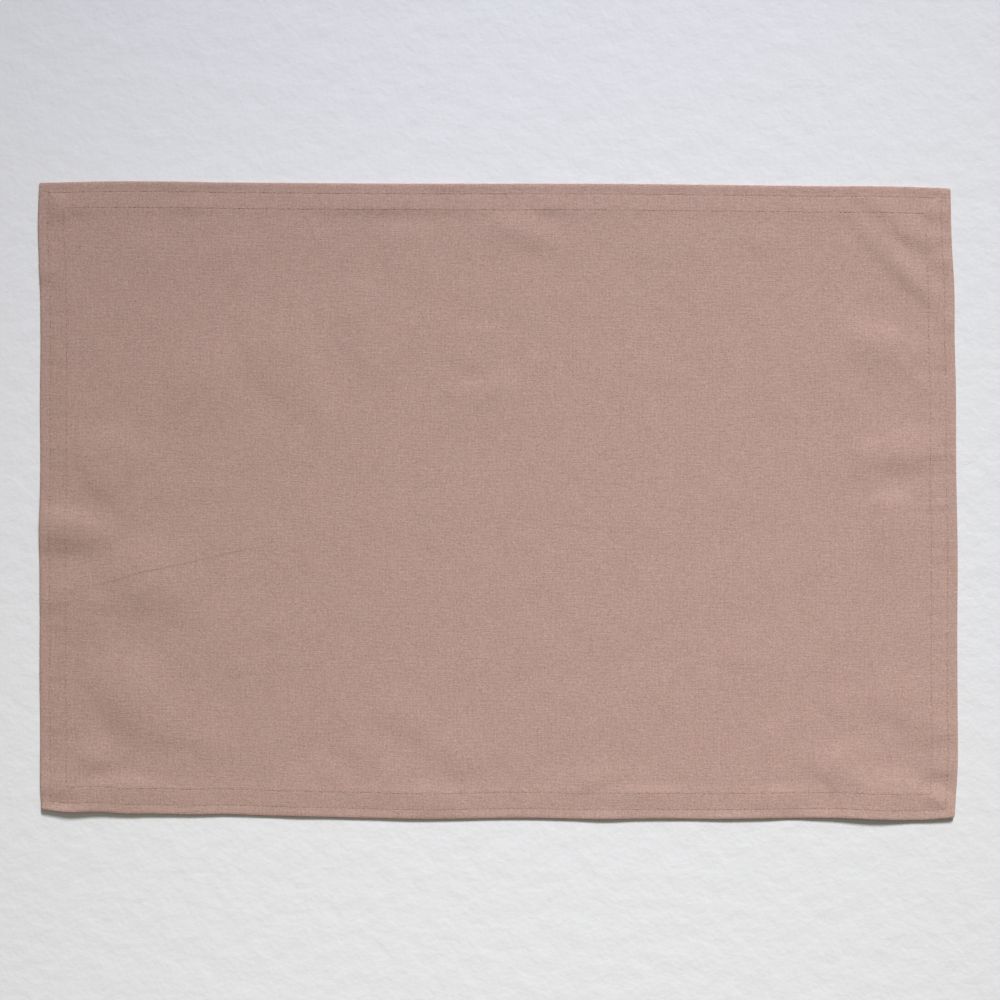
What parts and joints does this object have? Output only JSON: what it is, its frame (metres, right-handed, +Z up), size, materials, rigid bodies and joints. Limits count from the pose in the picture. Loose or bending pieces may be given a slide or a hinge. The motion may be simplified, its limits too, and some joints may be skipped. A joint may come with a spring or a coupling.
{
  "type": "fabric placemat",
  "caption": "Rectangular woven cloth placemat with a stitched hem all round, lying flat with a few soft wrinkles; protects and dresses a place setting.",
  "frame": {"origin": "middle of the cloth's outline, on the surface that it lies on", "axes": "+X along the long sides, to the right in the picture; +Y to the far long side, up in the picture; +Z up, out of the cloth's face"},
  "size_m": [0.5018, 0.3488, 0.0033],
  "materials": {
    "cloth": "matt dusty pink plain weave of linen and cotton, slightly slubbed",
    "thread": "matt sewing thread in the cloth's own shade"
  },
  "bodies": {
    "root": {"placemat_cloth": "cloth"}
  },
  "joints": []
}
